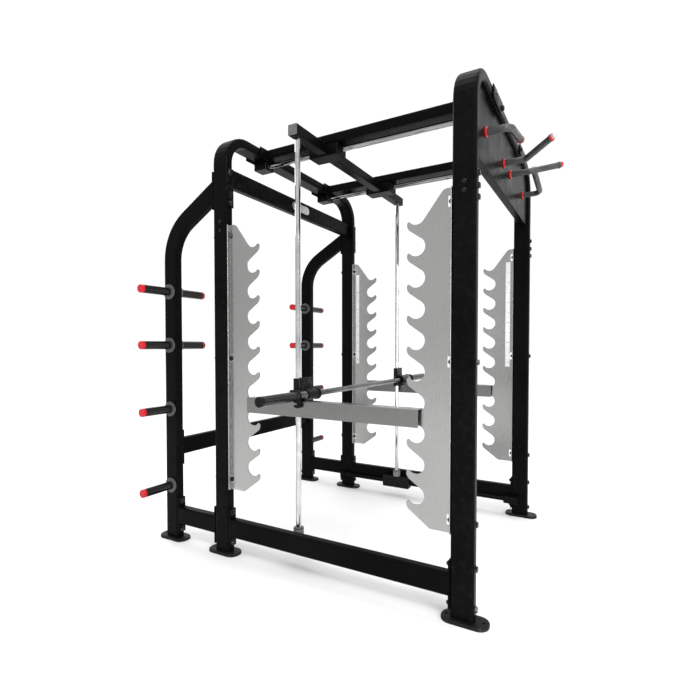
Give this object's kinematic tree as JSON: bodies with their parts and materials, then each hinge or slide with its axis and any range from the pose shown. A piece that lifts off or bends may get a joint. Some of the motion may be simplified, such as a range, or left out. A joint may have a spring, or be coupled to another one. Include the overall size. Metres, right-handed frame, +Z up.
{
  "type": "smith machine",
  "caption": "Two-axis smith machine: bar on guide rods under a rolling trolley, hook combs, safety arms, plate pegs and a pull-up grip station.",
  "frame": {"origin": "centre of the footprint box, on the floor", "axes": "+Z up, +X to the right of someone facing the machine from the grip side, -Y towards that front side, +Y towards the plate storage posts"},
  "size_m": [2.024, 2.122, 2.304],
  "materials": {
    "frame_paint": "satin black powder coat",
    "foot_paint": "satin black with worn grey edge",
    "brushed_plate": "brushed plate",
    "chrome": "polished",
    "slider_black": "semi gloss black",
    "bar_sleeve": "gloss black",
    "peg_black": "gloss black sleeve, grey flange, red end cap",
    "grip_rubber": "moulded, red rings",
    "badge_silver": "satin, blank"
  },
  "bodies": {
    "frame": {"badge_plate": "badge_silver", "base_beam_left": "frame_paint", "base_beam_right": "frame_paint", "base_stub_left": "frame_paint", "base_stub_right": "frame_paint", "bottom_rail_left": "chrome", "bottom_rail_right": "chrome", "comb_front_left": "brushed_plate", "comb_front_right": "brushed_plate", "comb_rear_left": "brushed_plate", "comb_rear_right": "brushed_plate", "foot_front_left": "foot_paint", "foot_front_right": "foot_paint", "foot_rear_left": "foot_paint", "foot_rear_right": "foot_paint", "foot_store_left": "foot_paint", "foot_store_right": "foot_paint", "front_arch": "frame_paint", "peg_inner_left_1": "peg_black", "peg_inner_left_2": "peg_black", "peg_inner_right_1": "peg_black", "peg_inner_right_2": "peg_black", "peg_outer_left_1": "peg_black", "peg_outer_left_2": "peg_black", "peg_outer_left_3": "peg_black", "peg_outer_left_4": "peg_black", "peg_outer_right_1": "peg_black", "peg_outer_right_2": "peg_black", "peg_outer_right_3": "peg_black", "peg_outer_right_4": "peg_black", "pullup_handle_inner_left": "grip_rubber", "pullup_handle_inner_right": "grip_rubber", "pullup_handle_outer_left": "grip_rubber", "pullup_handle_outer_right": "grip_rubber", "pullup_panel": "frame_paint", "rear_arch": "frame_paint", "rear_crossbeam": "frame_paint", "safety_arm_left": "brushed_plate", "safety_arm_right": "brushed_plate", "storage_crossbeam": "frame_paint", "storage_post_left": "frame_paint", "storage_post_right": "frame_paint", "top_beam_left": "frame_paint", "top_beam_right": "frame_paint", "top_rail_left": "chrome", "top_rail_right": "chrome"},
    "trolley": {"trolley_beam": "frame_paint", "guide_rod_left": "chrome", "lower_carriage_left": "slider_black", "guide_rod_right": "chrome", "lower_carriage_right": "slider_black"},
    "bar_carriage": {"bar_slider_left": "slider_black", "bar_slider_right": "slider_black"},
    "bar": {"bar_shaft": "chrome", "bar_hook_left": "slider_black", "bar_hook_right": "slider_black"},
    "sleeve_left": {"bar_sleeve_left": "bar_sleeve"},
    "sleeve_right": {"bar_sleeve_right": "bar_sleeve"}
  },
  "joints": [
    {"name": "trolley_travel", "type": "slide", "parent": "frame", "child": "trolley", "axis": [0, 1, 0], "range_m": [-0.603, 0.303]},
    {"name": "bar_lift", "type": "slide", "parent": "trolley", "child": "bar_carriage", "axis": [0, 0, 1], "range_m": [0, 1.2]},
    {"name": "bar_roll", "type": "hinge", "parent": "bar_carriage", "child": "bar", "pos_m": [0, 0.04595, 0.8935], "axis": [1, 0, 0], "range_deg": [-30, 60]},
    {"name": "sleeve_spin_left", "type": "hinge", "parent": "bar", "child": "sleeve_left", "pos_m": [-0.88, 0.04595, 0.8935], "axis": [1, 0, 0], "continuous": true},
    {"name": "sleeve_spin_right", "type": "hinge", "parent": "bar", "child": "sleeve_right", "pos_m": [0.88, 0.04595, 0.8935], "axis": [1, 0, 0], "continuous": true}
  ]
}
